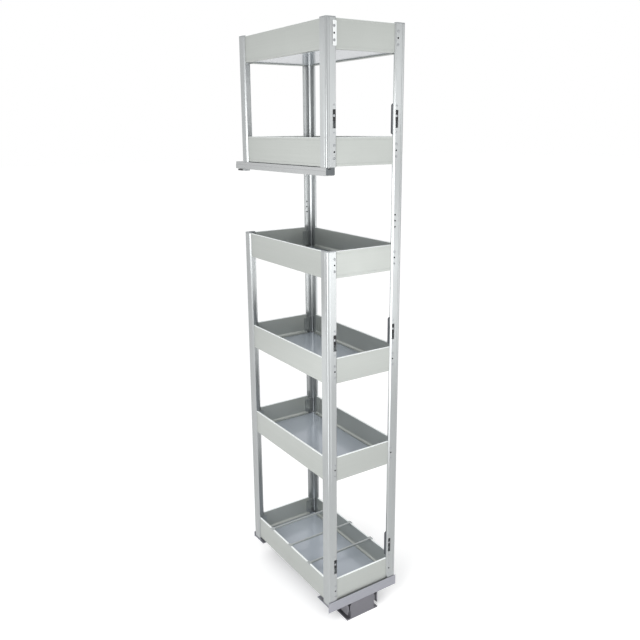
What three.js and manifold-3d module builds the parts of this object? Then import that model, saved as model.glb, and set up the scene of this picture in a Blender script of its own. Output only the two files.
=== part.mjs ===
// Pull-out larder unit: a tall aluminium frame with six trays. It rolls out of a kitchen
// cabinet on a full-extension runner that is screwed to the cabinet floor.
// Millimetres, +Z up. The front, where the cabinet door is fixed, faces -Y.
import * as THREE from 'three';
import { mergeVertices } from 'three/addons/utils/BufferGeometryUtils.js';
import Module from 'manifold-3d';

const wasm = await Module();
wasm.setup();

// ---- Driving sizes ----------------------------------------------------------------------

// Frame, measured over the outside faces of the corner posts
const frameWidth = 250;
const frameDepth = 460;
const fitGap = 0.3; // clearance left between pieces that meet

// Corner posts: L-shaped extrusions with a rounded outer corner. Their outer faces slope
// down to the tray panels along the free edges.
const postLeg = 32;
const postWall = 7.5;
const postCornerRadius = 5;
const postInnerChamfer = 4;
const postEdgeSlope = 3.5;
const postGrooveOffset = 10;
const postGrooveWidth = 1.4;
const postGrooveDepth = 0.6;
const postAboveTray = 2;

// Tray levels: top edge of the lowest tray above the floor, then each step up from it
const lowestTrayTop = 158;
const stepToTray5 = 393;
const stepToTray4 = 295;
const stepToTray3 = 296;
const stepToTray2 = 292;
const stepToTray1 = 284;

// Tray side panels: one extruded section with a sloping ledge over a slot for the floor board
const panelHeight = 73;
const panelRecess = 4; // how far a panel's face lies behind the posts' faces
const panelWall = 6;
const panelTopBevel = 1.2;
const ledgeReach = 7;
const ledgeRise = 9;
const ledgeLip = 2.7;
const floorFlange = 2.7; // under the board, flush with the panel's lower edge
const floorBoardThickness = 4;
const floorBoardCornerCut = 6;

// Tongues on the front and rear panels, screwed behind the posts' legs
const tongueThickness = 4;
const tongueOverlap = 10;
const tongueTopMargin = 12; // below the panel's upper edge
const tongueAboveBoard = 3;
const tongueEndGap = 1; // left between a tongue's end and the chamfer inside the post
const tongueOverlapDepth = 1; // how far a tongue's root is sunk in the panel's wall

// Fixing holes through the posts, three for each tray corner
const fixingInset = 24; // from the post's outer corner
const fixingHoleDiameter = 5;
const fixingHolePitch = 16.5;
const holeSides = 10;
const spareFixingsAboveTray = 102.5; // spare set on the right-hand posts, over tray 3's set

// Slots and brackets for the cabinet door, one pair over trays 2, 4 and 6
const slotAboveTray = 45;
const slotHeight = 46;
const slotWidth = 9;
const bracketHeight = 80;
const bracketThickness = 8;
const bracketCornerCut = 4;
const bracketPocketDepth = 6;
const adjusterHeight = 26;
const adjusterRunningGap = 0.4;
const adjusterSetBack = 1; // its face lies behind the post's face
const adjusterSetting = 8; // where it stands in its slot, above the slot's middle
const adjusterScrewDiameter = 6.4;
const adjusterScrewStand = 0.6;
const adjusterScrewSides = 16;

// Guide rail under the upper left section, with its cap and its shoe
const guideRailBelowTray = 2; // below tray 2's lower edge
const guideRailHeight = 21;
const guideRailWidth = 25.6;
const guideRailWall = 2;
const guideRailTail = 46; // how far it runs on behind the frame
const guideRailSlot = 9;
const guideRailBandHeight = 12; // the lower band of its side stands proud
const guideRailBandDepth = 0.8;
const capThickness = 2.5;
const capPlugLength = 14;
const capNotchWidth = 9;
const capNotchDepth = 4;
const capNotchInset = 4.5;
const shoeLength = 44;
const shoeRunningGap = 0.5;
const shoeStemDrop = 1.2;
const shoeFootHeight = 5;
const shoeFootWidth = 19;
const shoeFromRailEnd = 7;

// Cross dividers in the lowest tray
const dividerSpacing = 113;
const dividerBarHeight = 6;
const dividerBarThickness = 5;
const saddleLength = 14;
const saddleThickness = 1.5;
const saddleOuterDrop = 3;
const saddleInnerDrop = 9;

// Pressed-steel cross members under the frame
const crossPlateTop = 77;
const crossPlateThickness = 3;
const crossOverhang = 2; // past the frame on each side
const crossDepth = 60;
const lipThickness = 2;
const lipTop = 89;
const frontLipBottom = 57;
const rearLipBottom = 70;

// Runner: cabinet rail, two middle members and the carriage under the cross members
const railBoxHalfWidth = 44.5;
const railBoxTop = 57;
const railFlangeWidth = 13;
const railFlangeThickness = 4;
const sheet = 3; // wall of the cabinet rail and of the carriage
const trackProjection = 3;
const trackHeight = 19;
const trackCentre = 39; // height of the tracks above the floor
const carriageBottom = 19;
const middleLength = 440;
const middleWeb = 3;
const middleFlange = 3;
const runnerGap = 0.5;
const floorScrewDiameter = 5;
const floorScrewPitch = 150;

// ---- Worked-out places ------------------------------------------------------------------

const leftFace = -frameWidth / 2;
const rightFace = frameWidth / 2;
const frontFace = -frameDepth / 2;
const rearFace = frameDepth / 2;

// Top edges of the trays, counted from the top tray (1) down to the lowest (6)
const trayTops = [lowestTrayTop];
for (const step of [stepToTray5, stepToTray4, stepToTray3, stepToTray2, stepToTray1]) {
  trayTops.unshift(trayTops[0] + step);
}

const panelInner = panelRecess + panelWall;
const floorBoardUnderside = floorFlange + fitGap;
const floorSlotTop = floorBoardUnderside + floorBoardThickness + fitGap;
const postBottom = crossPlateTop + fitGap;
const postTop = trayTops[0] + postAboveTray;
const guideRailTop = trayTops[1] - panelHeight - guideRailBelowTray;
const guideRailBottom = guideRailTop - guideRailHeight;
const behindPostWall = postWall + fitGap;
const tongueReach = postLeg - postWall - postInnerChamfer - tongueEndGap;
const railFlangeHalfWidth = railBoxHalfWidth + railFlangeWidth;
const middleInner = railBoxHalfWidth + runnerGap;
const middleOuter = middleInner + trackProjection + middleWeb + trackProjection;
const carriageHalfWidth = middleOuter + runnerGap + sheet;

// ---- Materials --------------------------------------------------------------------------

function material(color, roughness, metalness) {
  return new THREE.MeshStandardMaterial({ color, roughness, metalness });
}

const anodisedAluminium = () => material(0xc4c8c9, 0.4, 0.9);
const trayAluminium = () => material(0xbcc0be, 0.45, 0.85);
const greyBoard = () => material(0x9aa0a8, 0.25, 0.1);
const zincSteel = () => material(0xa2a2aa, 0.45, 0.8);
const darkZinc = () => material(0x55585c, 0.5, 0.6);
const blackPlastic = () => material(0x1d1e20, 0.55, 0);
const greyPlastic = () => material(0x5b6063, 0.6, 0);
const chromedSteel = () => material(0xcfd4d4, 0.2, 1);

// ---- Geometry helpers -------------------------------------------------------------------

function block(x0, x1, y0, y1, z0, z1) {
  const geometry = new THREE.BoxGeometry(Math.abs(x1 - x0), Math.abs(y1 - y0), Math.abs(z1 - z0));
  return geometry.translate((x0 + x1) / 2, (y0 + y1) / 2, (z0 + z1) / 2);
}

function outline(points) {
  return new THREE.Shape(points.map(([x, y]) => new THREE.Vector2(x, y)));
}

function prism(shape, length, curveSegments = 6) {
  return new THREE.ExtrudeGeometry(shape, { depth: length, bevelEnabled: false, curveSegments });
}

// A section drawn as (Y, Z), run along X from -length / 2 to +length / 2
function runAlongX(shape, length) {
  const geometry = prism(shape, length);
  geometry.applyMatrix4(new THREE.Matrix4().set(0, 0, 1, 0, 1, 0, 0, 0, 0, 1, 0, 0, 0, 0, 0, 1));
  return geometry.translate(-length / 2, 0, 0);
}

// A section drawn as (X, Z), run along Y from y0 to y1
function runAlongY(shape, y0, y1) {
  return prism(shape, y1 - y0).rotateX(Math.PI / 2).translate(0, y1, 0);
}

function toSolid(geometry) {
  const bare = geometry.clone();
  bare.deleteAttribute('normal');
  bare.deleteAttribute('uv');
  const merged = mergeVertices(bare, 1e-4);
  return new wasm.Manifold(new wasm.Mesh({
    numProp: 3,
    vertProperties: new Float32Array(merged.attributes.position.array),
    triVerts: new Uint32Array(merged.index.array),
  }));
}

function toGeometry(solid) {
  const mesh = solid.getMesh();
  const geometry = new THREE.BufferGeometry();
  geometry.setAttribute('position', new THREE.BufferAttribute(mesh.vertProperties, 3));
  geometry.setIndex(new THREE.BufferAttribute(mesh.triVerts, 1));
  geometry.computeVertexNormals();
  return geometry;
}

function joined(first, ...others) {
  return toGeometry(others.reduce((solid, other) => solid.add(toSolid(other)), toSolid(first)));
}

function cut(geometry, cutters) {
  return toGeometry(cutters.reduce((solid, cutter) => solid.subtract(toSolid(cutter)), toSolid(geometry)));
}

const larder = new THREE.Group();

function place(name, geometry, finish, x = 0, y = 0, z = 0, turn = 0) {
  const mesh = new THREE.Mesh(geometry, finish);
  mesh.name = name;
  mesh.position.set(x, y, z);
  mesh.rotation.z = turn;
  larder.add(mesh);
}

// ---- Corner posts -----------------------------------------------------------------------

// L-section with its outer corner at the origin and its legs along +X and +Y.
// Each leg has a fine groove along its outer face.
function postSection() {
  const groove0 = postGrooveOffset - postGrooveWidth / 2;
  const groove1 = postGrooveOffset + postGrooveWidth / 2;
  const inner = postWall + postInnerChamfer;
  const shape = new THREE.Shape();
  shape.moveTo(postCornerRadius, 0);
  shape.lineTo(groove0, 0);
  shape.lineTo(postGrooveOffset, postGrooveDepth);
  shape.lineTo(groove1, 0);
  shape.lineTo(postLeg - postEdgeSlope, 0);
  shape.lineTo(postLeg, panelRecess);
  shape.lineTo(postLeg, postWall);
  shape.lineTo(inner, postWall);
  shape.lineTo(postWall, inner);
  shape.lineTo(postWall, postLeg);
  shape.lineTo(panelRecess, postLeg);
  shape.lineTo(0, postLeg - postEdgeSlope);
  shape.lineTo(0, groove1);
  shape.lineTo(postGrooveDepth, postGrooveOffset);
  shape.lineTo(0, groove0);
  shape.lineTo(0, postCornerRadius);
  shape.absarc(postCornerRadius, postCornerRadius, postCornerRadius, Math.PI, 1.5 * Math.PI, false);
  return shape;
}

// Fixing holes and bracket slots go through one leg only. legAlongX says which.
function holeThroughLeg(height, legAlongX) {
  const radius = fixingHoleDiameter / 2;
  const hole = new THREE.CylinderGeometry(radius, radius, 3 * postWall, holeSides);
  hole.translate(fixingInset, postWall / 2, height);
  return legAlongX ? hole : swapLegs(hole);
}

function slotThroughLeg(height, legAlongX) {
  const x0 = fixingInset - slotWidth / 2;
  const x1 = fixingInset + slotWidth / 2;
  const slot = block(x0, x1, -postWall, 2 * postWall, height - slotHeight / 2, height + slotHeight / 2);
  return legAlongX ? slot : swapLegs(slot);
}

// A half turn about the line x = y, which takes one leg of the post onto the other.
// It also turns the piece over in height, about the piece's own middle.
function swapLegs(geometry) {
  geometry.computeBoundingBox();
  const middle = (geometry.boundingBox.min.z + geometry.boundingBox.max.z) / 2;
  geometry.translate(0, 0, -middle);
  geometry.applyMatrix4(new THREE.Matrix4().set(0, 1, 0, 0, 1, 0, 0, 0, 0, 0, -1, 0, 0, 0, 0, 1));
  return geometry.translate(0, 0, middle);
}

function fixingHeights(setCentre) {
  return [setCentre + fixingHolePitch, setCentre, setCentre - fixingHolePitch];
}

const fixingCentres = trayTops.map((top) => top - panelHeight / 2);
const spareFixingCentre = fixingCentres[2] + spareFixingsAboveTray;
const slotCentres = [1, 3, 5].map((tray) => trayTops[tray] + slotAboveTray);

function addPost(name, x, y, turn, legAlongX, bottom, top, hasSlots, spareHoles) {
  const centres = spareHoles ? [...fixingCentres, spareFixingCentre] : fixingCentres;
  const inside = (height) => height > bottom && height < top;
  const cutters = centres.filter(inside).flatMap(fixingHeights)
    .map((height) => holeThroughLeg(height - bottom, legAlongX));
  if (hasSlots) {
    cutters.push(...slotCentres.filter(inside).map((height) => slotThroughLeg(height - bottom, legAlongX)));
  }
  const bar = prism(postSection(), top - bottom);
  place(name, cut(bar, cutters), anodisedAluminium(), x, y, bottom, turn);
}

const lowerLeftTop = trayTops[2] + postAboveTray;
const upperLeftBottom = guideRailTop + fitGap;
const quarter = Math.PI / 2;
addPost('front_left_upper_post', leftFace, frontFace, 0, true, upperLeftBottom, postTop, true, false);
addPost('front_left_lower_post', leftFace, frontFace, 0, true, postBottom, lowerLeftTop, true, false);
addPost('rear_left_upper_post', leftFace, rearFace, -quarter, false, upperLeftBottom, postTop, false, false);
addPost('rear_left_lower_post', leftFace, rearFace, -quarter, false, postBottom, lowerLeftTop, false, false);
addPost('front_right_post', rightFace, frontFace, quarter, false, postBottom, postTop, true, true);
addPost('rear_right_post', rightFace, rearFace, 2 * quarter, true, postBottom, postTop, false, true);

// ---- Trays ------------------------------------------------------------------------------

// Panel section as (inward, up): flat outer face, a flange along the lower edge for the floor
// board to rest on, and a sloping ledge over it
function panelSection() {
  const reach = panelInner + ledgeReach;
  return outline([
    [panelRecess, 0],
    [reach, 0],
    [reach, floorFlange],
    [panelInner, floorFlange],
    [panelInner, floorSlotTop],
    [reach, floorSlotTop],
    [reach, floorSlotTop + ledgeLip],
    [panelInner, floorSlotTop + ledgeLip + ledgeRise],
    [panelInner, panelHeight - panelTopBevel],
    [panelInner - panelTopBevel, panelHeight],
    [panelRecess + panelTopBevel, panelHeight],
    [panelRecess, panelHeight - panelTopBevel],
  ]);
}

function sidePanel() {
  return runAlongX(panelSection(), frameDepth - 2 * (postLeg + fitGap));
}

// The front and rear panels carry a tongue at each end, behind the posts' legs
function endPanel() {
  const length = frameWidth - 2 * (postLeg + fitGap);
  const bottom = floorSlotTop + tongueAboveBoard;
  const top = panelHeight - tongueTopMargin;
  const back = behindPostWall + tongueThickness;
  const tongues = [-1, 1].flatMap((side) => {
    const panelEnd = side * length / 2;
    const root = side * (length / 2 - tongueOverlap);
    const tip = side * (frameWidth / 2 - postLeg + tongueReach);
    return [
      block(root, panelEnd, panelInner - tongueOverlapDepth, back, bottom, top),
      block(root, tip, behindPostWall, back, bottom, top),
    ];
  });
  return joined(runAlongX(panelSection(), length), ...tongues);
}

function floorBoard() {
  const inset = Math.max(panelInner, postWall) + fitGap;
  const halfWidth = frameWidth / 2 - inset;
  const halfDepth = frameDepth / 2 - inset;
  const clearOfPost = 2 * (postWall + fitGap) + postInnerChamfer - 2 * inset;
  const cornerCut = Math.max(clearOfPost, floorBoardCornerCut);
  return prism(outline([
    [-halfWidth + cornerCut, -halfDepth],
    [halfWidth - cornerCut, -halfDepth],
    [halfWidth, -halfDepth + cornerCut],
    [halfWidth, halfDepth - cornerCut],
    [halfWidth - cornerCut, halfDepth],
    [-halfWidth + cornerCut, halfDepth],
    [-halfWidth, halfDepth - cornerCut],
    [-halfWidth, -halfDepth + cornerCut],
  ]), floorBoardThickness);
}

trayTops.forEach((top, index) => {
  const tray = `tray_${index + 1}`;
  const bottom = top - panelHeight;
  place(`${tray}_front_panel`, endPanel(), trayAluminium(), 0, frontFace, bottom);
  place(`${tray}_rear_panel`, endPanel(), trayAluminium(), 0, rearFace, bottom, 2 * quarter);
  place(`${tray}_left_panel`, sidePanel(), trayAluminium(), leftFace, 0, bottom, -quarter);
  place(`${tray}_right_panel`, sidePanel(), trayAluminium(), rightFace, 0, bottom, quarter);
  place(`${tray}_floor`, floorBoard(), greyBoard(), 0, 0, bottom + floorBoardUnderside);
});

// ---- Cross dividers of the lowest tray --------------------------------------------------

// A flat bar with a saddle at each end, hung over the tops of the side panels
function divider() {
  const over = saddleThickness + fitGap;
  const outerFace = frameWidth / 2 - panelRecess;
  const innerFace = frameWidth / 2 - panelInner;
  const half = saddleLength / 2;
  const saddles = [-1, 1].flatMap((side) => {
    const innerPlate = side * (innerFace - fitGap);
    const innerBack = side * (innerFace - over);
    const outerPlate = side * (outerFace + fitGap);
    const outerFront = side * (outerFace + over);
    return [
      block(innerBack, outerFront, -half, half, fitGap, over),
      block(outerPlate, outerFront, -half, half, -saddleOuterDrop, over),
      block(innerBack, innerPlate, -half, half, -saddleInnerDrop, over),
    ];
  });
  const barEnd = innerFace - over + saddleThickness / 2;
  const barHalf = dividerBarThickness / 2;
  const bar = block(-barEnd, barEnd, -barHalf, barHalf, over - dividerBarHeight, over);
  return joined(bar, ...saddles);
}

const dividerNames = ['divider_front', 'divider_middle', 'divider_rear'];
dividerNames.forEach((name, index) => {
  place(name, divider(), chromedSteel(), 0, (index - 1) * dividerSpacing, lowestTrayTop);
});

// ---- Guide rail, its cap and its shoe ---------------------------------------------------

const guideRailInnerX = leftFace + guideRailWidth;
const guideRailRear = rearFace + guideRailTail;
const guideRailFront = frontFace + capThickness + fitGap;

// Section as (X, Z) from the rail's lower left corner: a channel with a slot along its underside
function guideRailSection() {
  const slot0 = (guideRailWidth - guideRailSlot) / 2;
  const slot1 = slot0 + guideRailSlot;
  return outline([
    [0, 0],
    [slot0, 0],
    [slot0, guideRailWall],
    [guideRailWall + guideRailBandDepth, guideRailWall],
    [guideRailWall + guideRailBandDepth, guideRailHeight - guideRailWall],
    [guideRailWidth - guideRailWall, guideRailHeight - guideRailWall],
    [guideRailWidth - guideRailWall, guideRailWall],
    [slot1, guideRailWall],
    [slot1, 0],
    [guideRailWidth, 0],
    [guideRailWidth, guideRailHeight],
    [guideRailBandDepth, guideRailHeight],
    [guideRailBandDepth, guideRailBandHeight + guideRailBandDepth],
    [0, guideRailBandHeight],
  ]);
}

place('guide_rail', runAlongY(guideRailSection(), guideRailFront, guideRailRear),
  anodisedAluminium(), leftFace, 0, guideRailBottom);

// The cap covers the rail's front end, with a plug inside it and a notch in its top edge.
// The rail's underside shows below it.
function guideRailCap() {
  const lip = guideRailWall + fitGap;
  const plugLeft = guideRailWall + guideRailBandDepth + fitGap;
  const plugRight = guideRailWidth - guideRailWall - fitGap;
  const plugTop = guideRailHeight - guideRailWall - fitGap;
  const plugEnd = capThickness + capPlugLength;
  const plate = block(0, guideRailWidth, 0, capThickness, lip, guideRailHeight);
  const plug = block(plugLeft, plugRight, capThickness / 2, plugEnd, lip, plugTop - capNotchDepth);
  const notch = block(capNotchInset, capNotchInset + capNotchWidth, -1, capThickness + 1,
    guideRailHeight - capNotchDepth, guideRailHeight + 1);
  return cut(joined(plate, plug), [notch]);
}

place('guide_rail_cap', guideRailCap(), greyPlastic(), leftFace, frontFace, guideRailBottom);

// The shoe runs inside the rail, and its foot hangs out of the slot
function guideShoe() {
  const half = shoeLength / 2;
  const centre = guideRailWidth / 2 + guideRailBandDepth / 2;
  const bodyHalf = (guideRailWidth - guideRailBandDepth) / 2 - guideRailWall - shoeRunningGap;
  const slotCentre = guideRailWidth / 2;
  const stemHalf = guideRailSlot / 2 - shoeRunningGap;
  const bodyBottom = guideRailWall + fitGap;
  const bodyTop = guideRailHeight - guideRailWall - shoeRunningGap;
  const body = block(centre - bodyHalf, centre + bodyHalf, -half, half, bodyBottom, bodyTop);
  const stem = block(slotCentre - stemHalf, slotCentre + stemHalf, -half, half, -shoeStemDrop, bodyTop);
  const footTop = -shoeStemDrop + fitGap;
  const foot = block(slotCentre - shoeFootWidth / 2, slotCentre + shoeFootWidth / 2, -half, half,
    -shoeStemDrop - shoeFootHeight, footTop);
  return joined(body, stem, foot);
}

const shoeCentre = guideRailRear - shoeFromRailEnd - shoeLength / 2;
place('guide_shoe', guideShoe(), blackPlastic(), leftFace, shoeCentre, guideRailBottom);

// ---- Door brackets and their adjusters --------------------------------------------------

// Local frame of a bracket: x from the slot's middle towards the middle of the frame,
// y inward from the post's front face, z up from the slot's middle.
const bracketInner = postLeg - fixingInset;
const bracketOuter = bracketInner - tongueReach;

function doorBracket(side) {
  const half = bracketHeight / 2;
  const low = Math.min(-side * bracketInner, -side * bracketOuter);
  const high = Math.max(-side * bracketInner, -side * bracketOuter);
  const shape = outline([
    [low + bracketCornerCut, -half],
    [high - bracketCornerCut, -half],
    [high, -half + bracketCornerCut],
    [high, half - bracketCornerCut],
    [high - bracketCornerCut, half],
    [low + bracketCornerCut, half],
    [low, half - bracketCornerCut],
    [low, -half + bracketCornerCut],
  ]);
  const plate = runAlongY(shape, behindPostWall, behindPostWall + bracketThickness);
  const pocket = block(-slotWidth / 2, slotWidth / 2, 0, behindPostWall + bracketPocketDepth,
    -slotHeight / 2, slotHeight / 2);
  return cut(plate, [pocket]);
}

function doorAdjuster() {
  const half = slotWidth / 2 - adjusterRunningGap;
  const back = behindPostWall + bracketPocketDepth - adjusterRunningGap;
  const body = block(-half, half, adjusterSetBack, back, -adjusterHeight / 2, adjusterHeight / 2);
  const radius = adjusterScrewDiameter / 2;
  const stand = 2 * adjusterScrewStand;
  const head = new THREE.CylinderGeometry(radius, radius, stand, adjusterScrewSides);
  head.translate(0, adjusterSetBack, 0);
  return joined(body, head);
}

['top', 'middle', 'bottom'].forEach((level, index) => {
  const height = slotCentres[index];
  for (const [sideName, side] of [['left', -1], ['right', 1]]) {
    const x = side * (frameWidth / 2 - fixingInset);
    place(`door_bracket_${level}_${sideName}`, doorBracket(side), darkZinc(), x, frontFace, height);
    place(`door_adjuster_${level}_${sideName}`, doorAdjuster(), blackPlastic(),
      x, frontFace, height + adjusterSetting);
  }
});

// ---- Cross members under the frame ------------------------------------------------------

// Section as (Y, Z): a plate that the posts stand on, and a lip over the posts' feet
function crossMember(lipBottom) {
  const plateBottom = crossPlateTop - crossPlateThickness;
  const lipFront = -fitGap - lipThickness;
  return runAlongX(outline([
    [lipFront, lipBottom],
    [-fitGap, lipBottom],
    [-fitGap, plateBottom],
    [crossDepth, plateBottom],
    [crossDepth, crossPlateTop],
    [-fitGap, crossPlateTop],
    [-fitGap, lipTop],
    [lipFront, lipTop],
  ]), frameWidth + 2 * crossOverhang);
}

place('front_cross_member', crossMember(frontLipBottom), zincSteel(), 0, frontFace, 0);
place('rear_cross_member', crossMember(rearLipBottom), zincSteel(), 0, rearFace, 0, 2 * quarter);

// ---- Runner -----------------------------------------------------------------------------

const trackBottom = trackCentre - trackHeight / 2;
const trackTop = trackCentre + trackHeight / 2;

// A closed outline drawn for +X is completed by its mirror image on -X
function symmetricOutline(rightHalf) {
  const leftHalf = rightHalf.map(([x, z]) => [-x, z]).reverse();
  return outline([...rightHalf, ...leftHalf]);
}

// Carriage: an inverted channel under the cross members, with a track inside each wall
const carriageTop = crossPlateTop - crossPlateThickness - fitGap;
const carriageInner = carriageHalfWidth - sheet;
const carriageSection = symmetricOutline([
  [carriageInner, carriageTop - sheet],
  [carriageInner, trackTop],
  [carriageInner - trackProjection, trackTop],
  [carriageInner - trackProjection, trackBottom],
  [carriageInner, trackBottom],
  [carriageInner, carriageBottom],
  [carriageHalfWidth, carriageBottom],
  [carriageHalfWidth, carriageTop],
]);
place('runner_carriage', runAlongY(carriageSection, frontFace, rearFace - fitGap), zincSteel());

// Middle members: an I-section on each side, between the cabinet rail and the carriage
function middleMember() {
  const web0 = middleInner + trackProjection;
  const web1 = web0 + middleWeb;
  const low = trackBottom - runnerGap;
  const high = trackTop + runnerGap;
  const shape = outline([
    [middleInner, low - middleFlange],
    [middleOuter, low - middleFlange],
    [middleOuter, low],
    [web1, low],
    [web1, high],
    [middleOuter, high],
    [middleOuter, high + middleFlange],
    [middleInner, high + middleFlange],
    [middleInner, high],
    [web0, high],
    [web0, low],
    [middleInner, low],
  ]);
  return runAlongY(shape, -middleLength / 2, middleLength / 2);
}

place('runner_middle_right', middleMember(), zincSteel());
place('runner_middle_left', middleMember(), zincSteel(), 0, 0, 0, 2 * quarter);

// Cabinet rail: a top-hat section with a track outside each wall, closed by a front plate
const railSection = symmetricOutline([
  [railBoxHalfWidth - sheet, 0],
  [railFlangeHalfWidth, 0],
  [railFlangeHalfWidth, railFlangeThickness],
  [railBoxHalfWidth, railFlangeThickness],
  [railBoxHalfWidth, trackBottom],
  [railBoxHalfWidth + trackProjection, trackBottom],
  [railBoxHalfWidth + trackProjection, trackTop],
  [railBoxHalfWidth, trackTop],
  [railBoxHalfWidth, railBoxTop],
]);
const railInside = block(-railBoxHalfWidth + sheet, railBoxHalfWidth - sheet,
  frontFace + sheet, rearFace + 1, -1, railBoxTop - sheet);
const railBar = runAlongY(railSection, frontFace, rearFace - fitGap);
const screwRadius = floorScrewDiameter / 2;
const screwX = (railBoxHalfWidth + railFlangeHalfWidth) / 2;
const floorScrewHoles = [-1, 1].flatMap((side) => [-1, 0, 1].map((step) => {
  const hole = new THREE.CylinderGeometry(screwRadius, screwRadius, 3 * railFlangeThickness, holeSides);
  return hole.rotateX(quarter).translate(side * screwX, step * floorScrewPitch, railFlangeThickness / 2);
}));
place('cabinet_rail', cut(railBar, [railInside, ...floorScrewHoles]), zincSteel());

// ---- Origin at the middle of the base of the whole unit ---------------------------------

const frontmost = frontFace - fitGap - lipThickness;
larder.position.y = -(frontmost + guideRailRear) / 2;

export default larder;
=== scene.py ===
"""A pull-out larder: an aluminium frame with six trays on a full-extension floor runner.

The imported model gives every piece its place. This script gives them their finished shapes and
surfaces, in the order in which the unit is put together, from the runner up.
"""
import math
from itertools import product

import bpy
from mathutils import Euler, Matrix, Vector


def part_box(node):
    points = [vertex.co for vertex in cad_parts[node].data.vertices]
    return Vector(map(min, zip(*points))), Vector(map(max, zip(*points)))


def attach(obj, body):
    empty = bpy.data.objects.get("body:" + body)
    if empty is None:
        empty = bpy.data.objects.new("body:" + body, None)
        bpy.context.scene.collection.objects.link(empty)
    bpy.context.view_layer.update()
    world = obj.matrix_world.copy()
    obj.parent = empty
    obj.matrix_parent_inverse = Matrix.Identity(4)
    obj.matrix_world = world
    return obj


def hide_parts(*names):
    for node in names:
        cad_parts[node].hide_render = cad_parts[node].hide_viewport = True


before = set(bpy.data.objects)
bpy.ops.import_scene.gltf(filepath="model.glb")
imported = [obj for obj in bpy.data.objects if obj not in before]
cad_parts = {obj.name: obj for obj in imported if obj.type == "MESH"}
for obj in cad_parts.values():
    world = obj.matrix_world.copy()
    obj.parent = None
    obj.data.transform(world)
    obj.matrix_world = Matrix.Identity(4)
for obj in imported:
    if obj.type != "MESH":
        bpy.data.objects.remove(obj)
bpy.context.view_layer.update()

MM = 0.001


# ---- Viewpoint --------------------------------------------------------------------------
# A standing viewer at the front left of the unit, with the eye near the height of the upper
# trays, looks a little down on it. Angles are in degrees, and the lens is in millimetres.
EYE = (-1.121, -1.732, 1.4545)
TURNED_RIGHT = 33.32
LOOKING_DOWN = 13.88
LEANING = -0.46
SENSOR = 36
LENS = 39.1
FRAME_LIFT = -0.03

viewpoint = bpy.data.cameras.new("viewpoint")
viewpoint.sensor_width = SENSOR
viewpoint.lens = LENS
viewpoint.shift_y = FRAME_LIFT
eye = bpy.data.objects.new("viewpoint", viewpoint)
bpy.context.scene.collection.objects.link(eye)
bpy.context.scene.camera = eye
aim = Euler((math.radians(90 - LOOKING_DOWN), 0, math.radians(-TURNED_RIGHT))).to_matrix()
eye.matrix_world = (aim @ Matrix.Rotation(math.radians(LEANING), 3, "Z")).to_4x4()
eye.location = EYE


# ---- Cabinet rail -----------------------------------------------------------------------
# The part of the runner that is screwed to the cabinet floor: 3 mm sheet steel pressed to a
# top-hat section, with a raised track along each side and a plate welded over its front end.
# It is zinc plated, so it is a cool grey with a faint violet cast and a soft, cloudy gloss.
FLANGE_THICKNESS = 4 * MM
RAIL_WALL = 3 * MM
RAIL_BOX_HALF = 44.5 * MM
TRACK_OUT = 3 * MM
TRACK_LOW = 29.5 * MM
TRACK_HIGH = 48.5 * MM
FLOOR_SCREW_HOLE = 5 * MM
FLOOR_SCREW_STEP = 150 * MM
FRONT_PLATE_OFF_FLOOR = 0.2 * MM
STEEL_EDGE = 0.5 * MM
EDGE_FROM = 30  # degrees between two faces, from which their edge is rounded
SMOOTH_UP_TO = 35  # degrees between two faces, up to which the shading runs over them
ROUND_SIDES = 24
DRILL_LENGTHS = 3  # a drill's length, in thicknesses of the wall that it goes through
ZINC_GREY = "#7b7b80"
ZINC_GREY_DULL = "#706f75"
ZINC_CLOUD = 14 * MM
ZINC_GRAIN = 2 * MM
ZINC_GLOSSY = 0.32
ZINC_DULL = 0.5
ZINC_RELIEF = 0.2 * MM
ZINC_BUMP = 0.08
ZINC_METALLIC = 0.7


def linear(hex_colour):
    """Turns an sRGB hex colour to the linear values that the shader nodes take."""
    parts = [int(hex_colour[i:i + 2], 16) / 255 for i in (1, 3, 5)]
    return [p / 12.92 if p <= 0.04045 else ((p + 0.055) / 1.055) ** 2.4 for p in parts] + [1]


def add_node(tree, kind, values=(), links=(), **settings):
    """Adds one node, with its socket values, its incoming links and its own settings."""
    made = tree.nodes.new("ShaderNode" + kind)
    for setting, value in settings.items():
        setattr(made, setting, value)
    for socket, value in dict(values).items():
        made.inputs[socket].default_value = value
    for socket, source in dict(links).items():
        tree.links.new(source, made.inputs[socket])
    return made


def new_finish(name):
    """An empty material: its node tree, its coordinates and its output node."""
    finish = bpy.data.materials.new(name)
    finish.use_nodes = True
    finish.node_tree.nodes.clear()
    place = add_node(finish.node_tree, "TexCoord")
    return finish, finish.node_tree, place.outputs["Object"]


def close_finish(tree, shader):
    """Joins the finished shader to the material's output."""
    add_node(tree, "OutputMaterial", links={"Surface": shader.outputs[0]})


def zinc_plate(name, light, dark):
    """Zinc-plated steel: a metal with soft clouds in tone and gloss, left by the plating bath."""
    finish, tree, place = new_finish(name)
    clouds = add_node(tree, "TexNoise", {"Scale": 1 / ZINC_CLOUD, "Detail": 4}, {"Vector": place})
    grain = add_node(tree, "TexNoise", {"Scale": 1 / ZINC_GRAIN, "Detail": 2}, {"Vector": place})
    tone = add_node(tree, "Mix", {"A": linear(dark), "B": linear(light)},
                    {"Factor": clouds.outputs["Fac"]}, data_type="RGBA")
    gloss = add_node(tree, "MapRange", {"To Min": ZINC_GLOSSY, "To Max": ZINC_DULL},
                     {"Value": clouds.outputs["Fac"]})
    relief = add_node(tree, "Bump", {"Strength": ZINC_BUMP, "Distance": ZINC_RELIEF},
                      {"Height": grain.outputs["Fac"]})
    shader = add_node(tree, "BsdfPrincipled", {"Metallic": ZINC_METALLIC},
                      {"Base Color": tone.outputs["Result"], "Roughness": gloss.outputs["Result"],
                       "Normal": relief.outputs["Normal"]})
    close_finish(tree, shader)
    return finish


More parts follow.
